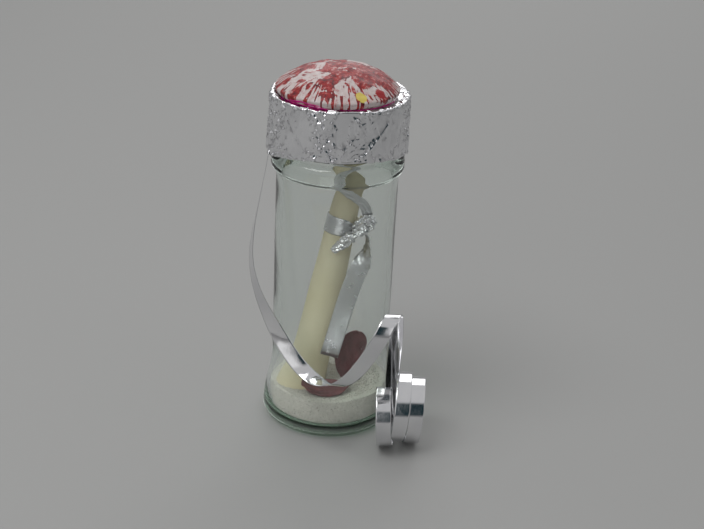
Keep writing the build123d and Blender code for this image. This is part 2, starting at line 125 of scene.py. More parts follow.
# Ribbon on the letter
tie_ribbon_width = 0.0061
riser_width = 0.0034
tail_route = [
    (0.0110, -0.0042, 0.0692),
    (0.0115, -0.0052, 0.0648),
    (0.0099, -0.0064, 0.0612),
    (0.0079, -0.0071, 0.0570),
    (0.0052, -0.0079, 0.0480),
    (0.0029, -0.0094, 0.0386),
    (-0.0002, -0.0112, 0.0266),
]
riser_route = [
    (0.0106, -0.0018, 0.0752),
    (0.0099, -0.0024, 0.0786),
    (0.0070, -0.0032, 0.0812),
    (0.0038, -0.0042, 0.0840),
    (0.0014, -0.0052, 0.0874),
    (0.0002, -0.0062, 0.0916),
    (-0.0002, -0.0074, 0.0964),
    (-0.0002, -0.0080, 0.1034),
]
tail_twist = (80.0, 0.0027, 0.0108)
tail_crumple = 0.0006
tail_crumple_reach = 0.009
tail_crumple_power = 4
riser_twist = (0.0, 0.0, 0.0324)
riser_crumple = 0.0003
crumple_size = 0.0011

# Glass jar
heel_radius = 0.0230
heel_round = 0.0018
body_radius = 0.0202
flare_height = 0.0240
jar_wall = 0.0022
floor_height = 0.0034
floor_corner = 0.0026
stand_radius = 0.0212
stand_width = 0.0018
punt_depth = 0.0014
punt_slope = 0.0022
bead_radius = 0.0219
bead_bottom = 0.0908
bead_shoulder = 0.0011
bead_top = 0.0982
bead_slope = 0.0018
bead_round = 0.0020
neck_radius = 0.0191
neck_wall = 0.0024
jar_height = 0.1126
shoulder_bottom = 0.0894
shoulder_top = 0.0974
shoulder_round = 0.0040
lip_round = 0.0008
soft_round = 0.0006
thread_start = 0.1048
thread_pitch = 0.0040
thread_turns = 1.3
thread_height = 0.0010
thread_width = 0.0009
thread_fade = 0.06
thread_rows = 2
thread_power = 4
jar_segments = 240
jar_step = 0.0004
flare_steps = 18
round_steps = 6
glass_wave = 0.00012
glass_wave_size = 0.016
glass_outside_calm = 3
glass_smears = ((260.0, 5.0), (0.45, 0.0), (0.9, 0.05))
glass_bump = ((70.0, 2.0), 0.0002, 0.25)
glass_index = 1.5
glass_shadow = (0.93, 0.95, 0.94)
glass_depth = {"Color": (0.56, 0.78, 0.64), "Density": 52.0}
# The heel's diffuse green and lower clearness are painted light: a painted glow of light carried in
# the thick glass at the foot.
heel_painted_glow_height = 0.0046
heel_painted_glow_tints = ((0.5, (0.4, 0.52, 0.42)), (1.0, (1.0, 1.0, 1.0)))
heel_painted_glow_clarities = ((0.5, 0.72), (1.0, 1.0))

# Foil. A crinkled column has a heading, a spread and a strength. Facets have a count, a seed,
# a slope, a blend and a tallness. A fold has a heading, a height, a lean, a length, a depth
# and a width. A dip of the edge has a heading, a spread and a depth.
foil_bottom = 0.1000
foil_radius = 0.0224
foil_inner_radius = 0.0220
foil_rim_top = 0.1170
foil_floor = 0.11578
foil_sheet = 0.00012
rim_width = 0.0016
rim_round = 0.0010
rim_wave = 0.0003
rim_reach = 2
foil_segments = 900
foil_step = 0.0002
foil_lining_steps = 3
crinkled_columns = (
    (-160.0, 21.0, 1.0), (-102.0, 11.0, 1.0), (-70.0, 9.0, 0.5), (-16.0, 10.0, 0.8),
    (32.0, 16.0, 0.9), (80.0, 12.0, 1.0), (128.0, 14.0, 0.8),
)
crinkled_power = 4
crinkled_rim = 0.0018
crinkled_rim_share = 0.6
broad_facets = (90, 76, 0.11, 0.0012, 0.35)
middle_facets = (340, 79, 0.36, 0.0006, 0.4)
middle_least = 0.3
fine_facets = (2400, 78, 0.34, 0.0003, 0.7)
foil_folds = (
    (-127.0, 0.1075, -55.0, 0.0105, -0.00034, 0.0006),
    (-119.0, 0.1045, -62.0, 0.0050, 0.0003, 0.0005),
    (-91.5, 0.1080, 90.0, 0.0150, -0.00034, 0.0006),
    (-84.0, 0.1040, 58.0, 0.0050, 0.0004, 0.0009),
    (-59.5, 0.1066, 50.0, 0.0135, 0.0005, 0.0006),
    (-75.0, 0.1090, 86.0, 0.0080, 0.0003, 0.0008),
    (-67.0, 0.1085, 94.0, 0.0080, -0.0003, 0.0007),
    (-44.0, 0.1060, 74.0, 0.0080, -0.0002, 0.0010),
    (-24.0, 0.1080, 88.0, 0.0100, 0.0005, 0.0005),
    (-16.0, 0.1060, 92.0, 0.0110, -0.00034, 0.0004),
    (5.0, 0.1080, 72.0, 0.0120, 0.0004, 0.0007),
    (52.0, 0.1070, 118.0, 0.0110, -0.0003, 0.0006),
    (104.0, 0.1080, 84.0, 0.0120, 0.0004, 0.0008),
    (150.0, 0.1075, 60.0, 0.0120, -0.0003, 0.0006),
)
fold_reach = 4
crease_seed = 77
foil_creases = 1300
crease_lengths = (0.001, 0.0055)
crease_depths = (0.00008, 0.00035)
crease_widths = (0.00015, 0.0005)
crease_spread = 0.6
stray_share = 0.1
crumple_inward = 0.00034
crumple_outward = 0.0005
edge_zone = 0.0022
edge_wave = 0.0003
edge_dips = ((180.0, 50.0, 0.0037), (-8.0, 38.0, 0.0024))
edge_bulge = 0.0013
edge_bulge_spread = 16.0

# Film and dome. The dome's top joins its edge at its third point.
film_height = 0.11592
film_sheet = 0.00005
film_flat_radius = 0.0188
film_edge_slope = 48.0
film_edge_least = -0.0006
film_edge_most = 0.0024
film_heading = 238.0
film_narrowness = 18
film_wave = 0.00025
film_rings = 24
film_edge_rings = 8
film_segments = 360
dome_middle = -0.001
dome_radius = 0.0201
dome_foot = 0.11605
dome_edge = 0.11825
dome_rise = 0.0075
dome_wall = 0.0016
dome_foot_inset = 0.0014
dome_tilt = 0.0003
dome_rings = 90
dome_segments = 420
dome_join = 2

# Paint on the dome. Stops are pairs of a place on a ramp and a colour or share.
paint_size = 0.003
paint_height = 0.00016
paint_fade = 8
streak_fade = 3
tilt_fade = 3
comb_noise = (17.0, 1.0, 0.5, (1.0, 0.14, 1.0))
comb_middle = 0.55
comb_strength = 2.8
sector_noise = (1.3, 1.0)
sector_stops = ((0.42, 0.25), (0.58, 1.0))
drip_stops = ((0.66, 0.0), (0.94, 1.0))
patch_noise = (150.0, 3.0, 0.6)
patch_warp = 0.8
speck_noise = (620.0, 5.0, 0.7)
white_stops = ((0.35, (0.56, 0.5, 0.49)), (0.55, (0.5, 0.42, 0.41)), (0.68, (0.42, 0.17, 0.17)))
red_stops = (
    (0.36, (0.07, 0.004, 0.008)), (0.47, (0.2, 0.006, 0.01)), (0.57, (0.33, 0.016, 0.014)),
    (0.66, (0.46, 0.28, 0.27)),
)
paint_border = ((0.43, 0.0), (0.46, 1.0))
paint_bump = (0.0006, 0.7)
paint_finish = {
    "Roughness": 0.45, "Specular_IOR_Level": 0.3, "Coat_Weight": 0.15, "Coat_Roughness": 0.15,
}
dome_spots = (
    ((0.0065, -0.0168, 0.1203), (0.6, 0.48, 0.1)), ((0.0125, -0.0128, 0.1203), (0.3, 0.008, 0.012)),
)
dome_spot_radius = 0.0022
spot_border = ((0.66, 1.0), (0.72, 0.0))

# Sand
sand_top = 0.0136
sand_gap = 0.0001
sand_tilt = 2.4
sand_heading = 60.0
sand_hole_gap = 0.0001
sand_roughness = 0.00012
sand_segments = 300
sand_side_rows = 24
sand_top_rows = 90
mound_size = 0.006
mound_height = 0.0003
grain_wave = 0.00035
grain_seed = 5
grain_count = 2600
grain_sizes = (0.00016, 0.00038)
grain_stretch = (0.6, 1.1)
grain_lift = 0.3
grain_scale = 3400.0
grain_stops = (
    (0.0, (0.2, 0.17, 0.14)), (0.04, (0.34, 0.31, 0.27)), (0.1, (0.48, 0.45, 0.41)),
    (0.7, (0.53, 0.5, 0.46)), (1.0, (0.6, 0.57, 0.53)),
)
damp_patches = ((420.0, 3.0), (0.35, 0.0), (0.65, 0.5))
damp_colour = (0.44, 0.415, 0.38)
sand_finish = 0.85
sand_bump = (0.0002, 0.4)

# Rolled letter
roll_foot = (-0.00846, -0.004, 0.010)
roll_lean = (0.01692, 0.012, 0.095)
roll_length = 0.0975
roll_foot_radius = 0.0077
roll_top_radius = 0.0037
roll_turns = 3.3
roll_layer_share = 0.1
paper_thickness = 0.00016
paper_wave = 0.00008
paper_wave_size = 0.012
letter_rows = 90
letter_end_wave = 0.0003
turn_points = 72
seam_start = -32.0
seam_turn = 15.0
foot_flare = 0.0024
foot_flare_height = 0.009
foot_flare_heading = -168.0
foot_flare_spread = 38.0
band_height = 0.0580
band_gap = 0.0001
band_points = 240
band_rows = 13
band_gather_spread = 28.0
band_gather_share = 0.45
band_fold = 0.00025
band_folds = 6
band_ripple = 0.00005
knot_heading = -37.0
knot_offset = (0.00734, -0.00507, 0.0021)
knot_reach = (0.0038, 0.0027, 0.0027)
knot_aim = (0.75, -0.1, 0.45)
knot_fold_share = 0.36
fine_fold_share = 0.6
lump_rows = 70
lump_columns = 110
lump_folds = 4
lump_swirl = 1.5
twist_offsets = [
    (0.00804, -0.00913, 0.00296), (0.00304, -0.00883, -0.00135), (-0.00256, -0.00813, -0.00665),
]
twist_rows = 120
twist_columns = 40
twist_first = 60.0
twist_turn = 300.0
twist_widths = (0.0014, 0.0019)
twist_thickness = 0.0011
twist_fold_share = 0.45

# Petals, each with its piece, node, size, place, facing direction and lean
petals = (
    (
        "petal_standing", "standing_petal",
        (0.0104, 0.0176), (0.0069, 0.0014, 0.0220), (0.25, -0.95, 0.1), 20.0,
    ),
    (
        "petal_lying", "lying_petal",
        (0.0160, 0.0086), (-0.0010, -0.0122, 0.0143), (0.05, -0.3, 0.95), 4.0,
    ),
)
petal_cup_radius = 0.016
petal_thickness = 0.00025
petal_rows = 60
petal_columns = 40
petal_end_share = 0.03
petal_taper = 0.14
petal_wrinkle = 0.00015
petal_edge_curl = 0.0004
petal_curl_power = 4

# Ribbon loop on the neck
loop_bottom = 0.0987
loop_width = 0.0018
loop_radius = 0.01945
loop_wave = 0.00004
loop_segments = 240
loop_rows = 9
exit_angle = 198.0
exit_reach = 0.0213
exit_rise = 0.0003
exit_knot_reach = (0.0016, 0.0005, 0.0005)
exit_fold_share = 0.2

# Random waves: a seed, a number of sines, and a factor for each coordinate
sine_steps = (-3, 4)
waves = {
    "glass": (3, 6, 1, 1),
    "mounds": (11, 5, 1, 1),
    "tail": (15, 5, 1, 5),
    "riser": (17, 5, 1, 5),
    "sand": (21, 5, 1, 1),
    "letter_end": (31, 4, 0.5),
    "paper": (33, 5, 0.5, 1),
    "band": (41, 6, 3, 9),
    "twist": (45, 5, 2, 4),
    "twist_fine": (46, 5, 3, 11),
    "letter_knot": (51, 4, 2, 1),
    "letter_knot_fine": (52, 6, 3, 3),
    "standing_petal": (61, 7, 3, 4),
    "standing_petal_edge": (62, 3, 3),
    "lying_petal": (67, 7, 3, 4),
    "lying_petal_edge": (68, 3, 3),
    "foil_rim": (81, 8, 3),
    "foil_edge": (83, 9, 4),
    "film_edge": (91, 9, 6),
    "film": (93, 6, 8),
    "paint_streaks": (101, 8, 7),
    "paint_blobs": (103, 7, 1, 1),
    "neck_loop_edge": (111, 4, 2),
    "neck_loop": (113, 5, 4, 5),
    "neck_knot": (121, 4, 2, 1),
    "neck_knot_fine": (122, 6, 3, 3),
}

# Plain materials. Tones, and a roughness that varies, are a noise and its stops. A bump is a
# noise, a distance and a strength, and the finest comes first.
ribbon_bumps = (((1500.0, 2.0), 0.00002, 0.25), ((160.0, 2.0), 0.0002, 0.1))
petal_noise = (380.0, 4.0, 0.6, (1.0, 1.0, 0.45))
board_noise = (1800.0, 4.0, 0.7)
looks = {
    "metallized_ribbon": {
        "tones": ((90.0,), (0.3, (0.76, 0.76, 0.78)), (0.75, (0.87, 0.87, 0.88))),
        "roughness": ((400.0, 4.0), (0.3, 0.06), (0.8, 0.15)),
        "bumps": ribbon_bumps, "Metallic": 1.0,
    },
    # A rougher copy of the ribbon for the letter's ribbon, with darker tones that are painted
    # shade.
    "rough_ribbon_painted_shade": {
        "tones": ((90.0,), (0.3, (0.64, 0.64, 0.66)), (0.75, (0.74, 0.74, 0.75))),
        "roughness": ((400.0, 4.0), (0.3, 0.26), (0.8, 0.34)),
        "bumps": ribbon_bumps, "Metallic": 1.0,
    },
    "kitchen_foil": {
        "tones": ((120.0, 4.0), (0.3, (0.76, 0.76, 0.78)), (0.8, (0.88, 0.88, 0.9))),
        "roughness": ((700.0, 3.0), (0.3, 0.08), (0.75, 0.2)),
        "bumps": (
            ((1.0, 2.0, 0.5, (150.0, 150.0, 5000.0)), 0.00001, 0.3), ((500.0, 3.0), 0.00006, 0.3),
        ),
        "Metallic": 1.0,
    },
    "pink_film": {
        "tones": ((500.0, 3.0), (0.3, (0.45, 0.01, 0.16)), (0.7, (0.85, 0.04, 0.36))),
        "roughness": 0.18, "bumps": (((900.0,), 0.0001, 0.5),),
        "Coat_Weight": 0.6, "Coat_Roughness": 0.08,
    },
    "letter_paper": {
        "tones": ((60.0, 4.0), (0.3, (0.55, 0.48, 0.32)), (0.75, (0.65, 0.59, 0.44))),
        "roughness": 0.72, "bumps": (((2500.0, 4.0, 0.7), 0.00004, 0.4),),
    },
    "dried_petal": {
        "tones": (petal_noise, (0.3, (0.07, 0.018, 0.02)), (0.7, (0.17, 0.045, 0.05))),
        "roughness": 0.6, "bumps": ((petal_noise, 0.0004, 0.6),),
    },
    "cap_plastic": {
        "tones": ((300.0,), (0.3, (0.012, 0.012, 0.014)), (0.8, (0.022, 0.022, 0.025))),
        "roughness": 0.38, "bumps": (((2500.0,), 0.00002, 0.3),),
    },
    "liner_board": {
        "tones": (board_noise, (0.3, (0.66, 0.63, 0.58)), (0.7, (0.78, 0.76, 0.71))),
        "roughness": 0.6, "bumps": ((board_noise, 0.00005, 0.4),),
    },
    "putty": {
        "tones": ((240.0, 4.0), (0.3, (0.6, 0.58, 0.5)), (0.7, (0.72, 0.7, 0.62))),
        "roughness": 0.7, "bumps": (((500.0,), 0.0004, 0.4),),
    },
}


def new_piece(name, vertices, faces, body, slot, replaced=(), smooth=True):
    """A mesh piece that rides on a body and stands for the named CAD nodes."""
    mesh = bpy.data.meshes.new(name)
    mesh.from_pydata([tuple(map(float, vertex)) for vertex in vertices], [], faces)
    mesh.validate()
    mesh.polygons.foreach_set("use_smooth", [smooth] * len(mesh.polygons))
    piece = bpy.data.objects.new(name, mesh)
    bpy.context.scene.collection.objects.link(piece)
    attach(piece, body)
    if replaced:
        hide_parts(*replaced)
    return piece


def route_line(points):
    """Points along the smooth NURBS line that a route's points control."""
    curve = bpy.data.curves.new("route", "CURVE")
    curve.dimensions = "3D"
    curve.resolution_u = route_resolution
    spline = curve.splines.new("NURBS")
    spline.points.add(len(points) - 1)
    for control, point in zip(spline.points, points):
        control.co = (*point, 1)
    spline.order_u = route_order
    spline.use_endpoint_u = True
    spline.resolution_u = route_resolution
    holder = bpy.data.objects.new("route", curve)
    bpy.context.scene.collection.objects.link(holder)
    bpy.context.view_layer.update()
    mesh = bpy.data.meshes.new_from_object(holder)
    line = np.array([tuple(vertex.co) for vertex in mesh.vertices])
    bpy.data.meshes.remove(mesh)
    bpy.data.objects.remove(holder)
    bpy.data.curves.remove(curve)
    return line


def travelled(line):
    """Distance along a line to each of its points."""
    steps = np.linalg.norm(np.diff(line, axis=0), axis=1)
    return np.concatenate([[0], np.cumsum(steps)])


def unit(vectors):
    """Vectors scaled to length one."""
    return vectors / np.linalg.norm(vectors, axis=-1, keepdims=True)


def strip_frames(line, twists):
    """Width and face directions along a ribbon whose width starts from sideways."""
    along = unit(np.gradient(line, axis=0))
    width = np.stack([np.cos(twists), -np.sin(twists), np.zeros(len(line))], axis=1)
    width = unit(width - along * np.sum(width * along, axis=1, keepdims=True))
    return width, np.cross(along, width)


def untwisted(line, first, begin, end):
    """Twists along a line that fade from the first one between two distances."""
    share = np.clip((travelled(line) - begin) / (end - begin), 0, 1)
    return radians(first) * (1 - share**2)


def grid_faces(rows, columns, wrap=False):
    """Quads between neighbouring rows of a grid, round a ring if it wraps."""
    faces = []
    for row in range(rows - 1):
        for column in range(columns if wrap else columns - 1):
            beside = (column + 1) % columns
            low, high = row * columns, (row + 1) * columns
            faces.append((low + column, low + beside, high + beside, high + column))
    return faces


def ribbon_piece(name, route, ribbon, twist, body, replaced, lift=None):
    """A flat ribbon along a route, with an optional lift of its face."""
    line = route_line(route)
    width, face = strip_frames(line, untwisted(line, *twist))
    shares = np.linspace(-0.5, 0.5, strip_columns)
    top = line[:, None] + width[:, None] * shares[None, :, None] * ribbon
    if lift is not None:
        top = top + face[:, None] * lift(travelled(line)[:, None], shares[None])[..., None]
    half = face[:, None] * ribbon_thickness / 2
    loop = np.concatenate([top + half, (top - half)[:, ::-1]], axis=1)
    rows, columns = loop.shape[:2]
    faces = grid_faces(rows, columns, wrap=True)
    faces.append(tuple(range(columns))[::-1])
    faces.append(tuple(range((rows - 1) * columns, rows * columns)))
    piece = new_piece(name, loop.reshape(-1, 3), faces, body, "silver_ribbon", replaced)
    return piece


def curl_points():
    """Control points of the curl, three on each quarter turn between two stations."""
    points = []
    reach = 1 / cos(radians(quarter_angles[0]))
    rising = False
    for start, end in zip(curl_stations, curl_stations[1:]):
        start, end = np.array(start), np.array(end)
        middle = (start + end) / 2
        middle[1:] = (start[1], end[2]) if rising else (end[1], start[2])
        for angle in quarter_angles:
            turn = radians(angle)
            point = middle + reach * (cos(turn) * (start - middle) + sin(turn) * (end - middle))
            point[0] = start[0] + (end[0] - start[0]) * angle / quarter_turn
            points.append(tuple(point))
        rising = not rising
    return points


def bell(angles, heading, spread, power=2):
    """A smooth share round a heading, one at the heading and small beyond the spread."""
    away = (angles - radians(heading) + pi) % (2 * pi) - pi
    return np.exp(-(np.abs(away / radians(spread)) ** power))


def sine_wave(name, *coordinates):
    """A named smooth random wave, mostly between -1 and 1, from sines in the coordinates."""
    seed, count, *factors = waves[name]
    pick = np.random.default_rng(seed)
    scaled = [coordinate * factor for coordinate, factor in zip(coordinates, factors)]
    total = 0
    for _ in range(count):
        phase = pick.uniform(0, 2 * pi)
        total = total + np.sin(phase + sum(pick.integers(*sine_steps) * part for part in scaled))
    return total / sqrt(count)


# Camera
camera_data = bpy.data.cameras.new("camera")
camera_data.lens = camera_lens
camera_data.clip_start = camera_near
camera = bpy.data.objects.new("camera", camera_data)
bpy.context.scene.collection.objects.link(camera)
ahead = Vector((
    sin(camera_yaw) * cos(camera_pitch), cos(camera_yaw) * cos(camera_pitch), -sin(camera_pitch)
))
level = Vector((cos(camera_yaw), -sin(camera_yaw), 0))
upright = level.cross(ahead)
right = cos(camera_roll) * level + sin(camera_roll) * upright
above = cos(camera_roll) * upright - sin(camera_roll) * level
turned = Matrix((right, above, -ahead)).transposed().to_4x4()
camera.matrix_world = Matrix.Translation(camera_place) @ turned
bpy.context.scene.camera = camera


# Cords: the gift ribbon and the two free ends of the letter's ribbon
def tail_lift(distance, share):
    """Crumples near the tail's tied end."""
    folds = np.abs(sine_wave("tail", distance / crumple_size, share))
    return tail_crumple * folds * np.exp(-((distance / tail_crumple_reach) ** tail_crumple_power))


def riser_lift(distance, share):
    """Crumples all along the rising end."""
    return riser_crumple * np.abs(sine_wave("riser", distance / crumple_size, share))


gift_ribbon = ribbon_piece(
    "gift_ribbon", drop_route + curl_points(), ribbon_width, gift_twist,
    "jar", ("ribbon_drop", "ribbon_curl"),
)
letter_tail = ribbon_piece(
    "letter_ribbon_tail", tail_route, tie_ribbon_width, tail_twist,
    "letter", ("ribbon_tail",), tail_lift,
)
letter_riser = ribbon_piece(
    "letter_ribbon_riser", riser_route, riser_width, riser_twist,
    "letter", ("ribbon_riser",), riser_lift,
)


def closed_lathe(rings, first_centre, last_centre):
    """Vertices and faces of rings of points, closed by one point at each end."""
    rows, columns = rings.shape[:2]
    vertices = np.concatenate([rings.reshape(-1, 3), [first_centre, last_centre]])
    faces = grid_faces(rows, columns, wrap=True)
    start, end = rows * columns, rows * columns + 1
    last = (rows - 1) * columns
    for column in range(columns):
        beside = (column + 1) % columns
        faces.append((start, beside, column))
        faces.append((end, last + column, last + beside))
    return vertices, faces


def capped_rings(rings):
    """Vertices and faces of rings of points, closed at the middle of both end rings."""
    return closed_lathe(rings, rings[0].mean(axis=0), rings[-1].mean(axis=0))


def two_sided(front, back, wrap=False):
    """Vertices and faces of a thin sheet between two grids of points."""
    rows, columns = front.shape[:2]
    count = rows * columns
    faces = grid_faces(rows, columns, wrap)
    faces += [tuple(count + corner for corner in face[::-1]) for face in faces]
    last = (rows - 1) * columns
    for column in range(columns if wrap else columns - 1):
        beside = (column + 1) % columns
        faces.append((column, count + column, count + beside, beside))
        faces.append((last + column, last + beside, count + last + beside, count + last + column))
    if not wrap:
        for low in range(0, last, columns):
            high = low + columns
            faces.append((low, high, count + high, count + low))
            side, above = high - 1, high + columns - 1
            faces.append((side, count + side, count + above, above))
    return np.concatenate([front.reshape(-1, 3), back.reshape(-1, 3)]), faces


def ring_angles(count):
    """Angles of evenly spaced points round a ring."""
    return np.linspace(0, 2 * pi, count, endpoint=False)


def round_axis(radii, angles, heights):
    """Points at radii from the Z axis, angles round it and heights."""
    points = np.broadcast_arrays(radii * np.cos(angles), radii * np.sin(angles), heights)
    return np.stack(points, axis=-1)


def turned_rings(outline, segments):
    """Rings of points round Z, one for each radius and height of an outline."""
    angles = ring_angles(segments)
    radii, heights = np.array(outline).T[:, :, None]
    return round_axis(radii, angles, heights), angles


def pushed_out(rings, amounts):
    """Rings whose points move away from the Z axis."""
    moved = rings.copy()
    moved[..., :2] += unit(rings[..., :2]) * amounts[..., None]
    return moved


def rounded(corners, steps=round_steps):
    """An outline of radius and height through corners that each have a rounding."""
    outline = [corners[0][:2]]
    for before, corner, after in zip(corners, corners[1:], corners[2:]):
        here, rounding = np.array(corner[:2]), corner[2]
        start = here + unit(np.array(before[:2]) - here) * rounding
        end = here + unit(np.array(after[:2]) - here) * rounding
        for share in np.linspace(0, 1, steps if rounding else 1):
            outline.append(tuple(
                start * (1 - share) ** 2 + here * 2 * share * (1 - share) + end * share**2
            ))
    outline.append(corners[-1][:2])
    return outline


def filled(outline, longest):
    """An outline with extra points, so that no step is longer than a given length."""
    dense = [outline[0]]
    for start, end in zip(outline, outline[1:]):
        start, end = np.array(start), np.array(end)
        distance = float(np.linalg.norm(end - start))
        pieces = max(round(distance / longest), 1 if distance > 0 else 0)
        dense += [tuple(start + (end - start) * k / pieces) for k in range(1, pieces + 1)]
    return dense


def eased(share):
    """A share that starts and ends gently."""
    return share * share * (3 - 2 * share)


# Glass jar
stand_inner = stand_radius - stand_width
body_inner = body_radius - jar_wall
heel_inner = heel_radius - jar_wall
bore_radius = neck_radius - neck_wall
floor_top = floor_height + floor_corner
heel_top = heel_round + soft_round


def flare_line(low, high):
    """An S-curve between two points of an outline, upright at both."""
    shares = np.linspace(0, 1, flare_steps + 1)
    return [
        (low[0] + (high[0] - low[0]) * eased(share), low[1] + (high[1] - low[1]) * share)
        for share in shares
    ]


def inner_radius(heights):
    """Radius of the jar's inside at heights under the shoulder."""
    share = np.clip((heights - floor_top) / (flare_height - floor_top), 0, 1)
    wall = heel_inner + (body_inner - heel_inner) * eased(share)
    depth = np.clip((floor_top - heights) / floor_corner, 0, 1)
    return wall - floor_corner * (1 - np.sqrt(1 - depth**2))


def jar_outline():
    """Outline of the glass: outside up to the lip, then inside down to the floor."""
    outside = rounded([
        (stand_inner / 2, punt_depth, 0), (stand_inner - punt_slope, punt_depth, soft_round),
        (stand_inner, 0, soft_round / 2), (stand_radius, 0, heel_round / 2),
        (heel_radius, heel_round, heel_round / 2), (heel_radius, heel_top, 0),
    ])
    flare = flare_line((heel_radius, heel_top), (body_radius, flare_height))
    upper = rounded([
        (body_radius, flare_height, 0), (body_radius, bead_bottom, soft_round),
        (bead_radius, bead_bottom + bead_shoulder, bead_shoulder),
        (bead_radius, bead_top - bead_slope, bead_round),
        (neck_radius, bead_top, soft_round), (neck_radius, jar_height, lip_round),
        (bore_radius, jar_height, lip_round), (bore_radius, shoulder_top, shoulder_round),
        (body_inner, shoulder_bottom, shoulder_round), (body_inner, flare_height, 0),
    ])
    inside = flare_line((heel_inner, floor_top), (body_inner, flare_height))[::-1]
    corner = [
        (inner_radius(height), height)
        for height in floor_top - floor_corner * np.sin(np.linspace(0, pi / 2, len(inside)))
    ]
    outline = filled(outside + flare + upper + inside + corner, jar_step)
    return outline + [(stand_inner / 2, floor_height)]


def thread_bump(angles, heights):
    """How far the thread's ridge stands out of the neck."""
    bump = np.zeros(heights.shape)
    for turn in range(thread_rows):
        travel = angles / (2 * pi) + turn
        middle = thread_start + thread_pitch * travel
        ends = np.clip(np.minimum(travel, thread_turns - travel) / thread_fade, 0, 1)
        ridge = np.exp(-(((heights - middle) / thread_width) ** thread_power))
        bump = bump + thread_height * ridge * eased(ends)
    return bump


def jar_rings():
    """Rings of the jar's glass, slightly uneven inside, with the thread on the neck."""
    rings, angles = turned_rings(jar_outline(), jar_segments)
    radii, heights = np.hypot(rings[..., 0], rings[..., 1]), rings[..., 2]
    angles = np.broadcast_to(angles, heights.shape)
    indoors = (radii < inner_radius(heights) + glass_wave) & (heights < bead_bottom)
    wave = glass_wave * sine_wave("glass", angles, heights / glass_wave_size)
    on_neck = (heights > bead_top) & (radii > neck_radius - lip_round)
    push = np.where(indoors, wave, wave / glass_outside_calm)
    return pushed_out(rings, push + np.where(on_neck, thread_bump(angles, heights), 0))


jar = new_piece(
    "jar_glass", *closed_lathe(jar_rings(), (0, 0, punt_depth), (0, 0, floor_height)),
    "jar", "clear_glass", ("glass_jar",),
)


# Rolled letter
roll_axis = np.array(roll_lean) / np.linalg.norm(roll_lean)
roll_side = np.array((1, 0, 0)) - roll_axis * roll_axis[0]
roll_side = roll_side / np.linalg.norm(roll_side)
roll_back = np.cross(roll_axis, roll_side)


def on_roll(along, angles, radii):
    """Points at distances along the roll's axis, angles round it and radii from it."""
    along, angles, radii = np.broadcast_arrays(along, angles, radii)
    across = np.cos(angles)[..., None] * roll_side + np.sin(angles)[..., None] * roll_back
    return np.array(roll_foot) + along[..., None] * roll_axis + radii[..., None] * across


def roll_radius(along):
    """Outer radius of the roll at a distance along its axis."""
    return roll_foot_radius + (roll_top_radius - roll_foot_radius) * along / roll_length


def letter_sheet():
    """The rolled sheet, from its free outer edge to its inner edge."""
    around = np.linspace(0, 2 * pi * roll_turns, round(roll_turns * turn_points))[None, :]
    shares = np.linspace(0, 1, letter_rows)[:, None]
    ragged = letter_end_wave * (sine_wave("letter_end", around) - 1)
    along = shares * roll_length + ragged * (2 * shares - 1)
    seam = radians(seam_start) + radians(seam_turn) * shares
    wave = paper_wave * (sine_wave("paper", around, along / paper_wave_size) - 1)
    radii = roll_radius(along) * (1 - roll_layer_share * around / (2 * pi)) + wave
    flare = foot_flare * np.exp(-((along / foot_flare_height) ** 2))
    flare = flare * bell(seam - around, foot_flare_heading, foot_flare_spread)
    radii = radii + np.where(around < 2 * pi + seam, flare, 0)
    outer = on_roll(along, seam - around, radii)
    inner = on_roll(along, seam - around, radii - paper_thickness)
    return two_sided(inner, outer)


letter = new_piece("letter_sheet", *letter_sheet(), "letter", "letter_paper", ("message_scroll",))


def band_sheet():
    """Ribbon pulled round the letter, gathered where its knot sits."""
    around = ring_angles(band_points)[None, :]
    across = np.linspace(-0.5, 0.5, band_rows)[:, None]
    gather = bell(around, knot_heading, band_gather_spread)
    width = tie_ribbon_width * (1 - band_gather_share * gather)
    along = band_height + tie_ribbon_width / 2 + across * width
    folds = band_fold * gather * (1 + np.sin(across * band_folds * pi + around))
    ripple = band_ripple * np.abs(sine_wave("band", around, across))
    radii = roll_radius(along) + band_gap + folds + ripple
    outer = on_roll(along, around, radii + ribbon_thickness)
    inner = on_roll(along, around, radii)
    return two_sided(outer, inner, wrap=True)


band = new_piece("letter_band", *band_sheet(), "letter", "silver_ribbon", ("scroll_band",))


def lump(name, reach, fold_share):
    """Rings of a crumpled lump whose folds run to its two ends."""
    rise = np.linspace(pi, 0, lump_rows + 2)[1:-1, None]
    turn = ring_angles(lump_columns)[None, :]
    folds = np.abs(np.sin(turn * lump_folds + lump_swirl * sine_wave(name, rise, turn)))
    folds = folds + fine_fold_share * np.abs(sine_wave(name + "_fine", rise, turn))
    size = 1 + fold_share * (folds - 1)
    return np.stack([
        reach[0] * size * np.cos(rise) * np.ones(turn.shape),
        reach[1] * size * np.sin(rise) * np.cos(turn),
        reach[2] * size * np.sin(rise) * np.sin(turn),
    ], axis=-1)


def placed(shape, place, aim):
    """Points whose first axis is turned to an aim and whose origin goes to a place."""
    first = unit(np.array(aim, dtype=float))
    second = unit(np.cross((0, 0, 1), first))
    third = np.cross(first, second)
    return np.array(place) + shape @ np.stack([first, second, third])


band_middle = np.array(roll_foot) + roll_axis * (band_height + tie_ribbon_width / 2)
knot_rings = placed(
    lump("letter_knot", knot_reach, knot_fold_share), band_middle + knot_offset, knot_aim
)
knot = new_piece(
    "letter_knot", *capped_rings(knot_rings), "letter", "silver_ribbon", ("scroll_knot",),
)


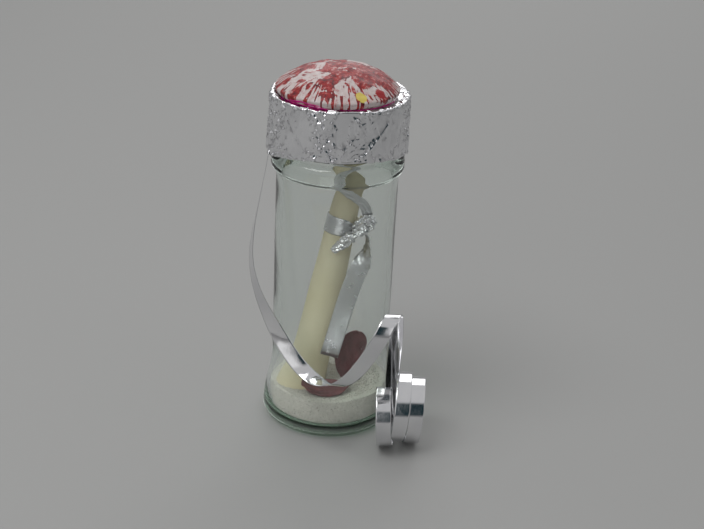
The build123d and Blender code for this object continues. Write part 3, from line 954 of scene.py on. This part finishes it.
def twist_rings():
    """Rings of a twisted and folded end of ribbon that crosses the letter's front."""
    start, middle, end = (band_middle + np.array(offset) for offset in twist_offsets)
    shares = np.linspace(0, 1, twist_rows)[:, None]
    bulge = 2 * middle - (start + end) / 2
    line = start * (1 - shares) ** 2 + bulge * 2 * shares * (1 - shares) + end * shares**2
    along = unit(np.gradient(line, axis=0))
    side = unit(np.cross(along, (0, 0, 1)))
    rise = np.cross(along, side)
    around = ring_angles(twist_columns)[None, :]
    spin = radians(twist_first) + radians(twist_turn) * shares
    wide = twist_widths[0] + (twist_widths[1] - twist_widths[0]) * np.sin(pi * shares)
    folds = np.abs(sine_wave("twist", around, shares))
    folds = folds + fine_fold_share * np.abs(sine_wave("twist_fine", around, shares))
    size = 1 + twist_fold_share * (folds - 1)
    flat_x = wide * size * np.cos(around)
    flat_y = twist_thickness * size * np.sin(around)
    x = flat_x * np.cos(spin) - flat_y * np.sin(spin)
    y = flat_x * np.sin(spin) + flat_y * np.cos(spin)
    return line[:, None] + x[..., None] * side[:, None] + y[..., None] * rise[:, None]


twist = new_piece(
    "letter_ribbon_twist", *capped_rings(twist_rings()), "letter", "silver_ribbon",
    ("ribbon_twist",),
)


# Sand
def sand_height(x, y):
    """Height of the sand's surface, with its slope and low mounds."""
    heading = radians(sand_heading)
    slope = tan(radians(sand_tilt)) * (x * cos(heading) + y * sin(heading))
    return sand_top + slope + mound_height * sine_wave("mounds", x / mound_size, y / mound_size)


def hollowed(points):
    """Points of the sand's surface, moved down to the letter's foot where it stands."""
    offset = points - np.array(roll_foot)
    along, side, back = offset @ roll_axis, offset @ roll_side, offset @ roll_back
    seam = radians(seam_start) + radians(seam_turn) * along / roll_length
    unrolled = (seam - np.arctan2(back, side)) % (2 * pi) / (2 * pi)
    reach = roll_radius(along) * (1 - roll_layer_share * unrolled) + sand_hole_gap
    drop = np.where(np.hypot(side, back) < reach, along + sand_hole_gap, 0)
    return points - drop[..., None] * roll_axis


def sand_rings():
    """Rings of the sand: bottom, side against the glass, then the surface inwards."""
    angles = ring_angles(sand_segments)
    rim = body_inner * np.stack([np.cos(angles), np.sin(angles)], axis=1)
    bottom = floor_height + sand_gap
    depth = sand_height(rim[:, 0], rim[:, 1]) - bottom
    rings = []
    for share in np.linspace(0, 1, sand_side_rows):
        heights = bottom + depth * share
        radii = inner_radius(heights) - sand_gap - glass_wave
        rings.append(round_axis(radii, angles, heights))
    edge = rings[-1][:, :2]
    for share in np.linspace(1, 0, sand_top_rows)[1:-1]:
        x, y = (edge * share).T
        rough = sine_wave("sand", x / grain_wave, y / grain_wave)
        heights = sand_height(x, y) + sand_roughness * rough
        rings.append(hollowed(np.stack([x, y, heights], axis=1)))
    return np.array(rings)


def sand_grains():
    """Loose grains on the surface, as small eight-sided lumps."""
    pick = np.random.default_rng(grain_seed)
    corners = np.array([(1, 0, 0), (-1, 0, 0), (0, 1, 0), (0, -1, 0), (0, 0, 1), (0, 0, -1)])
    sides = [(0, 2, 4), (2, 1, 4), (1, 3, 4), (3, 0, 4), (2, 0, 5), (1, 2, 5), (3, 1, 5), (0, 3, 5)]
    widest = body_inner - grain_sizes[1] - glass_wave
    vertices, faces = [], []
    for _ in range(grain_count):
        angle, reach = pick.uniform(0, 2 * pi), widest * sqrt(pick.uniform(0, 1))
        size = pick.uniform(*grain_sizes)
        spin = Matrix.Rotation(pick.uniform(0, pi), 3, Vector(pick.normal(size=3)).normalized())
        shape = (corners * pick.uniform(*grain_stretch, corners.shape) * size) @ np.array(spin).T
        x, y = reach * cos(angle), reach * sin(angle)
        spot = np.array([x, y, sand_height(x, y)])
        if np.any(hollowed(spot) != spot):
            continue
        base = len(vertices)
        vertices += [tuple(spot + corner + (0, 0, size * grain_lift)) for corner in shape]
        faces += [tuple(base + corner for corner in side) for side in sides]
    return vertices, faces


sand_middle = (0, 0, float(sand_height(0, 0)))
sand = new_piece(
    "sand_bed", *closed_lathe(sand_rings(), (0, 0, floor_height + sand_gap), sand_middle),
    "jar", "pale_sand", ("sand",),
)
grains = new_piece("sand_grains", *sand_grains(), "jar", "pale_sand", smooth=False)


# Petals
def petal_sheet(node, size, place, face, lean):
    """A cupped, wrinkled petal, a little wider towards its upper end."""
    facing = unit(np.array(face))
    level = unit(np.cross((0, 0, 1), facing))
    steep = np.cross(facing, level)
    across = level * cos(radians(lean)) - steep * sin(radians(lean))
    upward = np.cross(facing, across)
    along = np.linspace(-1, 1, petal_rows)[:, None]
    side = np.linspace(-1, 1, petal_columns)[None, :]
    width = np.sqrt(np.clip(1 - along**2, petal_end_share, 1)) * (1 + petal_taper * along)
    x = side * width * size[0] / 2
    y = along * size[1] / 2 + 0 * side
    cup = petal_cup_radius - np.sqrt(petal_cup_radius**2 - x**2 - y**2)
    wrinkles = petal_wrinkle * sine_wave(node, side, along)
    curl = petal_edge_curl * side**petal_curl_power * sine_wave(node + "_edge", along)
    z = cup + wrinkles + curl
    front = np.array(place) + x[..., None] * across + y[..., None] * upward + z[..., None] * facing
    return two_sided(front, front - petal_thickness * facing)


petal_pieces = [
    new_piece(piece, *petal_sheet(node, *shape), "jar", "dried_petal", (node,))
    for piece, node, *shape in petals
]


# Foil over the cap
def crinkled(angles, heights):
    """Share from 0, where the foil is smooth, to 1, where it is heavily creased."""
    share = 0
    for heading, spread, strength in crinkled_columns:
        share = share + strength * bell(angles, heading, spread, crinkled_power)
    to_edge = np.minimum(heights - foil_bottom, foil_rim_top - heights)
    share = share + crinkled_rim_share * np.exp(-((to_edge / crinkled_rim) ** 2))
    return np.clip(share, 0, 1)


def facets(rings, count, seed, slope, blend, tallness):
    """Flat facets of random tilt, each round one of many random places on the foil."""
    pick = np.random.default_rng(seed)
    angles, heights = pick.uniform(0, 2 * pi, count), pick.uniform(foil_bottom, foil_rim_top, count)
    places = round_axis(foil_radius, angles, heights) * (1, 1, tallness)
    rings = rings * (1, 1, tallness)
    tilts = pick.normal(0, slope, (count, 3))
    tree = KDTree(count)
    for number, place in enumerate(places):
        tree.insert(place, number)
    tree.balance()
    found = [tree.find_n(point, 2) for point in rings.reshape(-1, 3)]
    numbers = np.array([[hit[1] for hit in pair] for pair in found])
    gaps = np.array([pair[1][2] - pair[0][2] for pair in found])
    offsets = rings.reshape(-1, 1, 3) - places[numbers]
    pushes = np.sum(offsets * tilts[numbers], axis=-1)
    share = (1 + np.clip(gaps / blend, 0, 1)) / 2
    return (pushes[:, 0] * share + pushes[:, 1] * (1 - share)).reshape(rings.shape[:2])


def add_fold(field, angles, heights, place, heading, length, depth, width):
    """Adds one sharp fold, at an angle and height, to a field of pushes outwards."""
    x = ((angles - place[0] + pi) % (2 * pi) - pi) * foil_radius
    near = np.abs(x) < length + fold_reach * width
    x, y = x[near][None, :], heights[:, None] - place[1]
    run = x * cos(heading) + y * sin(heading)
    off = y * cos(heading) - x * sin(heading)
    away = np.hypot(off, np.clip(np.abs(run) - length / 2, 0, None))
    field[:, near] += depth * np.exp(-away / width)


def crumple(rings, angles):
    """Facets, long folds and small creases of pressed foil, as a push outwards."""
    heights = rings[:, 0, 2]
    share = crinkled(angles[None, :], heights[:, None])
    field = facets(rings, *broad_facets)
    field = field + facets(rings, *middle_facets) * np.maximum(share, middle_least)
    field = field + facets(rings, *fine_facets) * share
    for heading, height, lean, *sizes in foil_folds:
        add_fold(field, angles, heights, (radians(heading), height), radians(lean), *sizes)
    pick = np.random.default_rng(crease_seed)
    for _ in range(foil_creases):
        place = pick.uniform(-pi, pi), pick.uniform(foil_bottom, foil_rim_top)
        lean = pick.normal(pi / 2, crease_spread)
        length, width = pick.uniform(*crease_lengths), pick.uniform(*crease_widths)
        depth = pick.uniform(*crease_depths) * pick.choice((-1, 1))
        depth = depth * max(stray_share, crinkled(*place))
        add_fold(field, angles, heights, place, lean, length, depth, width)
    return np.clip(field - np.median(field), -crumple_inward, crumple_outward)


def hung(rings, angles):
    """Rings of the foil, hanging lower at its sides and pushed out where the ribbon leaves."""
    share = np.clip((foil_rim_top - rings[..., 2]) / (foil_rim_top - foil_bottom), 0, 1)
    lower = rings.copy()
    for heading, spread, depth in edge_dips:
        lower[..., 2] -= depth * share * bell(angles, heading, spread)
    return pushed_out(lower, edge_bulge * share * bell(angles, exit_angle, edge_bulge_spread))


def foil_outlines():
    """Outlines of the foil's lining, outwards and down, and of its outside back to the middle."""
    lining = rounded([
        (foil_radius / 2, foil_floor - foil_sheet, 0),
        (foil_inner_radius, foil_floor - foil_sheet, foil_sheet),
        (foil_inner_radius, foil_bottom, 0),
    ], foil_lining_steps)
    outside = filled(rounded([
        (foil_radius, foil_bottom, 0), (foil_radius, foil_rim_top, rim_round),
        (foil_radius - rim_width, foil_rim_top - rim_round / 2, rim_round / 2),
        (foil_radius - rim_width - rim_round, foil_floor, rim_round / 2),
        (foil_radius / 2, foil_floor, 0),
    ]), foil_step)
    return lining, outside


def foil_mesh():
    """The foil: inner face outwards and down, then up the side, over the rim and back in."""
    lining, outside = foil_outlines()
    rings, angles = turned_rings(outside, foil_segments)
    heights, radii = rings[:, 0, 2].copy(), np.array(outside)[:, 0]
    fade = np.clip((radii - foil_radius + rim_reach * rim_width) / rim_width, 0, 1)[:, None]
    push = crumple(rings, angles) * fade
    upwards = np.clip((foil_radius - radii) / rim_round, 0, 1)[:, None]
    rings = pushed_out(rings, push * (1 - upwards))
    rings[..., 2] += push * upwards
    upper = np.clip((heights - foil_rim_top) / rim_round + rim_reach, 0, 1)[:, None]
    rings[..., 2] += rim_wave * (sine_wave("foil_rim", angles)[None, :] - 1) * fade * upper
    ragged = edge_wave * (1 + sine_wave("foil_edge", angles))
    rings[..., 2] += ragged * np.clip(1 - (heights - foil_bottom) / edge_zone, 0, 1)[:, None]
    lining, _ = turned_rings(lining, foil_segments)
    lining[-1, :, 2] += ragged
    both = hung(np.concatenate([lining, rings]), angles)
    return closed_lathe(both, (0, 0, foil_floor - foil_sheet), (0, 0, foil_floor))


foil = new_piece("foil_wrap_sheet", *foil_mesh(), "cap", "kitchen_foil", ("foil_wrap",))


# Coloured film under the dome, flat and then turned up round the dome's foot
def film_mesh():
    """Two faces of the film round the dome's middle, its edge highest at the left front."""
    outline = [(film_flat_radius * k / film_rings, film_height) for k in range(1, film_rings + 1)]
    rings, angles = turned_rings(outline, film_segments)
    facing = (1 + np.cos(angles - radians(film_heading))) / 2
    length = film_edge_least + (film_edge_most - film_edge_least) * facing**film_narrowness
    length = length + film_wave * sine_wave("film_edge", angles)
    slope = radians(film_edge_slope)
    turned_up = []
    for share in np.linspace(0, 1, film_edge_rings)[1:]:
        ripple = film_wave * share * sine_wave("film", angles) / 2
        reach = film_flat_radius + length * share * cos(slope) - np.abs(ripple)
        heights = film_height + length * share * sin(slope) + ripple
        turned_up.append(round_axis(reach, angles, heights))
    top = np.concatenate([rings, turned_up]) + (dome_middle, 0, 0)
    under = top - (0, 0, film_sheet)
    centre = (dome_middle, 0, film_height)
    return closed_lathe(
        np.concatenate([under, top[::-1]]), tuple(np.array(centre) - (0, 0, film_sheet)), centre
    )


film = new_piece("film_sheet", *film_mesh(), "cap", "pink_film", ("film_disc",))


# Painted dome
def dome_outline():
    """Outline of the dome's shell, and the number of the point where its outside begins."""
    curve = (dome_radius**2 + dome_rise**2) / (2 * dome_rise)
    centre_height = dome_edge + dome_rise - curve
    reach = np.linspace(dome_radius, dome_radius / dome_rings, dome_rings)
    top = [(r, centre_height + sqrt(curve**2 - r**2)) for r in reach]
    foot_outer = dome_radius - dome_foot_inset
    foot_inner = foot_outer - dome_wall
    hollow_scale = foot_inner / dome_radius
    hollow = [(r * hollow_scale, height - dome_wall) for r, height in top[:0:-1]]
    foot = rounded([
        (foot_inner, dome_edge - dome_wall / 2, 0), (foot_inner, dome_foot, 0),
        (foot_outer, dome_foot, dome_wall / 4),
        (dome_radius - dome_foot_inset / 4, dome_foot + (dome_edge - dome_foot) / 3, dome_wall / 3),
        (dome_radius, dome_edge, dome_wall / 4), top[dome_join],
    ])
    return hollow + foot[:-1] + top[dome_join:], len(hollow) + len(foot) // 2 + 1


def dome_mesh():
    """The dome's shell, uneven like a poured and hand-painted piece."""
    outline, outside = dome_outline()
    rings, angles = turned_rings(outline, dome_segments)
    inward = np.clip(1 - np.array(outline)[:, :1] / dome_radius, 0, 1)
    streaks = np.abs(sine_wave("paint_streaks", angles)) * np.clip(1 - inward * streak_fade, 0, 1)
    blobs = sine_wave("paint_blobs", rings[..., 0] / paint_size, rings[..., 1] / paint_size)
    lift = paint_height * (streaks + blobs) * eased(np.clip(inward * paint_fade, 0, 1))
    tilt = dome_tilt * rings[..., 0] / dome_radius * eased(np.clip(inward * tilt_fade, 0, 1))
    rings[outside:, :, 2] += (lift + tilt)[outside:]
    rings[..., 0] += dome_middle
    return capped_rings(rings)


dome = new_piece("dome_painted", *dome_mesh(), "cap", "painted_shell", ("painted_dome",))


# Ribbon loop and knot on the neck, under the foil's edge
def loop_mesh():
    """The ribbon round the neck, folded lengthwise and pulled tight."""
    angles = ring_angles(loop_segments)[None, :]
    across = np.linspace(0, 1, loop_rows)[:, None]
    edge = loop_wave * (1 + sine_wave("neck_loop_edge", angles))
    heights = loop_bottom + loop_width * across + edge
    faces = []
    for inset in (0, ribbon_thickness):
        radii = loop_radius - inset + loop_wave * np.abs(sine_wave("neck_loop", angles, across))
        faces.append(round_axis(radii, angles, heights))
    return two_sided(*faces, wrap=True)


neck_loop = new_piece("gift_ribbon_loop", *loop_mesh(), "jar", "silver_ribbon", ("neck_tie",))
exit_aim = (cos(radians(exit_angle)), sin(radians(exit_angle)), 0)
exit_place = (exit_aim[0] * exit_reach, exit_aim[1] * exit_reach, loop_bottom + exit_rise)
neck_knot_rings = placed(
    lump("neck_knot", exit_knot_reach, exit_fold_share), exit_place, exit_aim
)
neck_knot = new_piece(
    "gift_ribbon_knot", *capped_rings(neck_knot_rings), "jar", "silver_ribbon", ("neck_tie_knot",),
)


# Studio
def area_light(name, place, size, power):
    """A square soft light that faces the object."""
    data = bpy.data.lights.new(name, "AREA")
    data.shape = "SQUARE"
    data.size = size
    data.energy = power
    light = bpy.data.objects.new(name, data)
    light.location = place
    light.rotation_euler = (Vector(light_aim) - Vector(place)).to_track_quat("-Z", "Y").to_euler()
    light.visible_glossy = name != unmirrored_light
    bpy.context.scene.collection.objects.link(light)


for name, settings in lights.items():
    area_light(name, *settings)

floor_corners = [
    (x * floor_size / 2, y * floor_size / 2, -floor_drop)
    for x, y in ((-1, -1), (1, -1), (1, 1), (-1, 1))
]
floor_mesh = bpy.data.meshes.new("floor")
floor_mesh.from_pydata(floor_corners, [], [(0, 1, 2, 3)])
floor = bpy.data.objects.new("floor", floor_mesh)
bpy.context.scene.collection.objects.link(floor)


# Materials
class Nodes:
    """Short calls for the shader nodes that this scene uses."""

    def __init__(self, tree):
        self.tree = tree

    def node(self, kind, inputs=(), **settings):
        """A new node with its settings, and with values or links in its inputs."""
        node = self.tree.nodes.new(kind)
        for name, value in settings.items():
            setattr(node, name, value)
        for socket, value in dict(inputs).items():
            self.feed(node.inputs[socket], value)
        return node

    def feed(self, socket, value):
        """Links another node's output to a socket, or sets the socket's own value."""
        if isinstance(value, bpy.types.NodeSocket):
            self.tree.links.new(value, socket)
        elif socket.type == "RGBA":
            socket.default_value = (*value, 1)
        else:
            socket.default_value = value

    def ramp(self, factor, *stops):
        """Colours or shares along a ramp."""
        node = self.node("ShaderNodeValToRGB", {"Fac": factor})
        elements = node.color_ramp.elements
        while len(elements) < len(stops):
            elements.new(1)
        for element, (position, colour) in zip(elements, stops):
            element.position = position
            element.color = (*colour, 1) if isinstance(colour, tuple) else (colour,) * 3 + (1,)
        return node.outputs["Color"]

    def math(self, operation, first, second):
        """The result of one sum of two values."""
        return self.node("ShaderNodeMath", {0: first, 1: second}, operation=operation).outputs[0]

    def mix(self, factor, first, second):
        """A blend of two colours, by the node's sockets for colours."""
        inputs = {0: factor, 6: first, 7: second}
        return self.node("ShaderNodeMix", data_type="RGBA", inputs=inputs).outputs[2]

    def between(self, value, start, end):
        """A share that goes from 0 at the start to 1 at the end."""
        inputs = {"Value": value, "From Min": start, "From Max": end}
        return self.node("ShaderNodeMapRange", inputs).outputs[0]


class Material(Nodes):
    """A new node material."""

    def __init__(self, name):
        self.data = bpy.data.materials.new(name)
        self.data.use_nodes = True
        super().__init__(self.data.node_tree)
        self.shader = self.tree.nodes["Principled BSDF"]
        self.output = self.tree.nodes["Material Output"]
        self.place = self.node("ShaderNodeTexCoord").outputs["Object"]

    def set(self, **values):
        """Feeds the shader's inputs."""
        for name, value in values.items():
            self.feed(self.shader.inputs[name.replace("_", " ")], value)

    def noise(self, scale, detail=3.0, roughness=0.5, stretch=None, place=None, warp=0.0):
        """Soft random noise, finer where it is stretched by more."""
        place = place or self.place
        if stretch:
            place = self.node("ShaderNodeMapping", {"Vector": place, "Scale": stretch}).outputs[0]
        return self.node("ShaderNodeTexNoise", {
            "Vector": place, "Scale": scale, "Detail": detail, "Roughness": roughness,
            "Distortion": warp,
        }).outputs["Fac"]

    def patches(self, spread, *stops):
        """Colours or shares in random patches."""
        return self.ramp(self.noise(*spread), *stops)

    def bump(self, height, distance, strength, normal=None):
        """A bumpy normal from heights, over another normal if one is given."""
        inputs = {"Height": height, "Distance": distance, "Strength": strength}
        if normal is not None:
            inputs["Normal"] = normal
        return self.node("ShaderNodeBump", inputs).outputs["Normal"]


def plain_material(name, tones, roughness, bumps, **settings):
    """A material of tones in random patches, with bumps."""
    made = Material(name)
    normal = None
    for spread, distance, strength in bumps:
        normal = made.bump(made.noise(*spread), distance, strength, normal)
    if isinstance(roughness, tuple):
        roughness = made.patches(*roughness)
    made.set(Base_Color=made.patches(*tones), Roughness=roughness, Normal=normal, **settings)
    return made.data


def floor_material():
    """Plain pale matt floor."""
    made = Material("floor")
    made.set(
        Base_Color=floor_colour, Roughness=floor_roughness, Specular_IOR_Level=floor_gloss
    )
    return made.data


def glass_material():
    """Clear glass, green in its depth, that lets light through to what it holds, with a painted
    green glow at its heel.
    """
    made = Material("clear_glass")
    spread, *bump = glass_bump
    height = made.node("ShaderNodeSeparateXYZ", {0: made.place}).outputs["Z"]
    height = made.math("DIVIDE", height, heel_painted_glow_height)
    made.set(
        # Low on the jar the glass is painted a diffuse green and made less clear: painted glow, not
        # the glass's own colour.
        Base_Color=made.ramp(height, *heel_painted_glow_tints), IOR=glass_index,
        Transmission_Weight=made.ramp(height, *heel_painted_glow_clarities),
        Roughness=made.patches(*glass_smears), Normal=made.bump(made.noise(*spread), *bump),
    )
    clear = made.node("ShaderNodeBsdfTransparent", {"Color": glass_shadow})
    shadow = made.node("ShaderNodeLightPath").outputs["Is Shadow Ray"]
    both = made.node("ShaderNodeMixShader", {
        0: shadow, 1: made.shader.outputs[0], 2: clear.outputs[0],
    })
    depth = made.node("ShaderNodeVolumeAbsorption", glass_depth)
    made.feed(made.output.inputs["Surface"], both.outputs[0])
    made.feed(made.output.inputs["Volume"], depth.outputs[0])
    return made.data


def dome_drips(made):
    """Where white drips run in from the dome's edge: a push towards red or white."""
    parts = made.node("ShaderNodeSeparateXYZ", {0: made.place}).outputs
    side = made.math("SUBTRACT", parts["X"], dome_middle)
    angle = made.math("ARCTAN2", side, made.math("MULTIPLY", parts["Y"], -1.0))
    square = made.math(
        "ADD", made.math("MULTIPLY", side, side), made.math("MULTIPLY", parts["Y"], parts["Y"])
    )
    reach = made.math("DIVIDE", made.math("POWER", square, 0.5), dome_radius)
    spokes = made.node("ShaderNodeCombineXYZ", {"X": angle, "Y": reach}).outputs[0]
    comb = made.math("SUBTRACT", made.noise(*comb_noise, place=spokes), comb_middle)
    sector = made.ramp(made.noise(*sector_noise, place=spokes), *sector_stops)
    rim = made.math("MULTIPLY", made.ramp(reach, *drip_stops), sector)
    return made.math("MULTIPLY", comb, made.math("MULTIPLY", rim, comb_strength))


def dome_material():
    """Glossy hand-painted reds over white, with white drips and two round spots."""
    made = Material("painted_dome")
    specks = made.noise(*speck_noise)
    score = made.math("ADD", made.noise(*patch_noise, warp=patch_warp), dome_drips(made))
    share = made.ramp(score, *paint_border)
    tone = made.mix(share, made.ramp(specks, *white_stops), made.ramp(specks, *red_stops))
    for place, colour in dome_spots:
        away = made.node("ShaderNodeVectorMath", {0: made.place, 1: place}, operation="DISTANCE")
        rough = made.math("MULTIPLY", specks, dome_spot_radius)
        away = made.math("ADD", away.outputs["Value"], rough)
        share = made.ramp(made.math("DIVIDE", away, 2 * dome_spot_radius), *spot_border)
        tone = made.mix(share, tone, colour)
    made.set(Base_Color=tone, Normal=made.bump(specks, *paint_bump), **paint_finish)
    return made.data


def sand_material():
    """Pale fine sand with dark and rusty specks."""
    made = Material("pale_sand")
    cell = made.node("ShaderNodeTexVoronoi", {"Vector": made.place, "Scale": grain_scale}).outputs
    shade = made.node("ShaderNodeSeparateColor", {0: cell["Color"]}).outputs[0]
    tone = made.mix(made.patches(*damp_patches), made.ramp(shade, *grain_stops), damp_colour)
    made.set(
        Base_Color=tone, Roughness=sand_finish, Normal=made.bump(cell["Distance"], *sand_bump)
    )
    return made.data


def dress(material, *pieces):
    """Gives one material to pieces."""
    for piece in pieces:
        piece.data.materials.clear()
        piece.data.materials.append(material)


plain = {name: plain_material(name, **look) for name, look in looks.items()}
dress(floor_material(), floor)
dress(plain["metallized_ribbon"], gift_ribbon, knot, twist, neck_loop, neck_knot)
# The letter's ribbon wears the rougher copy whose darker tones are painted shade.
dress(plain["rough_ribbon_painted_shade"], letter_tail, letter_riser, band)
dress(glass_material(), jar)
dress(plain["kitchen_foil"], foil)
dress(plain["pink_film"], film)
dress(dome_material(), dome)
dress(plain["letter_paper"], letter)
dress(sand_material(), sand, grains)
dress(plain["dried_petal"], *petal_pieces)
for node, name in (
    ("cap_shell", "cap_plastic"), ("cap_liner", "liner_board"), ("glue_pad", "putty"),
):
    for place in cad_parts[node].material_slots:
        place.material = plain[name]


# Room
def room_light():
    """Soft room, pale above, with a bright and a dark part in front at the viewer's height."""
    world = bpy.data.worlds.new("room")
    bpy.context.scene.world = world
    world.use_nodes = True
    made = Nodes(world.node_tree)
    direction = made.node("ShaderNodeTexCoord").outputs["Generated"]
    parts = made.node("ShaderNodeSeparateXYZ", {0: direction}).outputs
    in_front = made.between(parts["Y"], *front_depths)
    tone = made.mix(made.between(parts["Z"], *room_rise), room_low, room_high)
    for colour, heights, sides in (
        (room_bright, bright_heights, bright_sides), (room_dark, dark_heights, dark_sides),
    ):
        share = made.math("MULTIPLY", made.ramp(parts["Z"], *heights), in_front)
        for side in sides:
            share = made.math("MULTIPLY", share, made.between(parts["X"], *side))
        tone = made.mix(share, tone, colour)
    background = world.node_tree.nodes["Background"]
    made.feed(background.inputs["Color"], tone)
    made.feed(background.inputs["Strength"], room_strength)


room_light()
bpy.context.scene.view_settings.view_transform = "Standard"
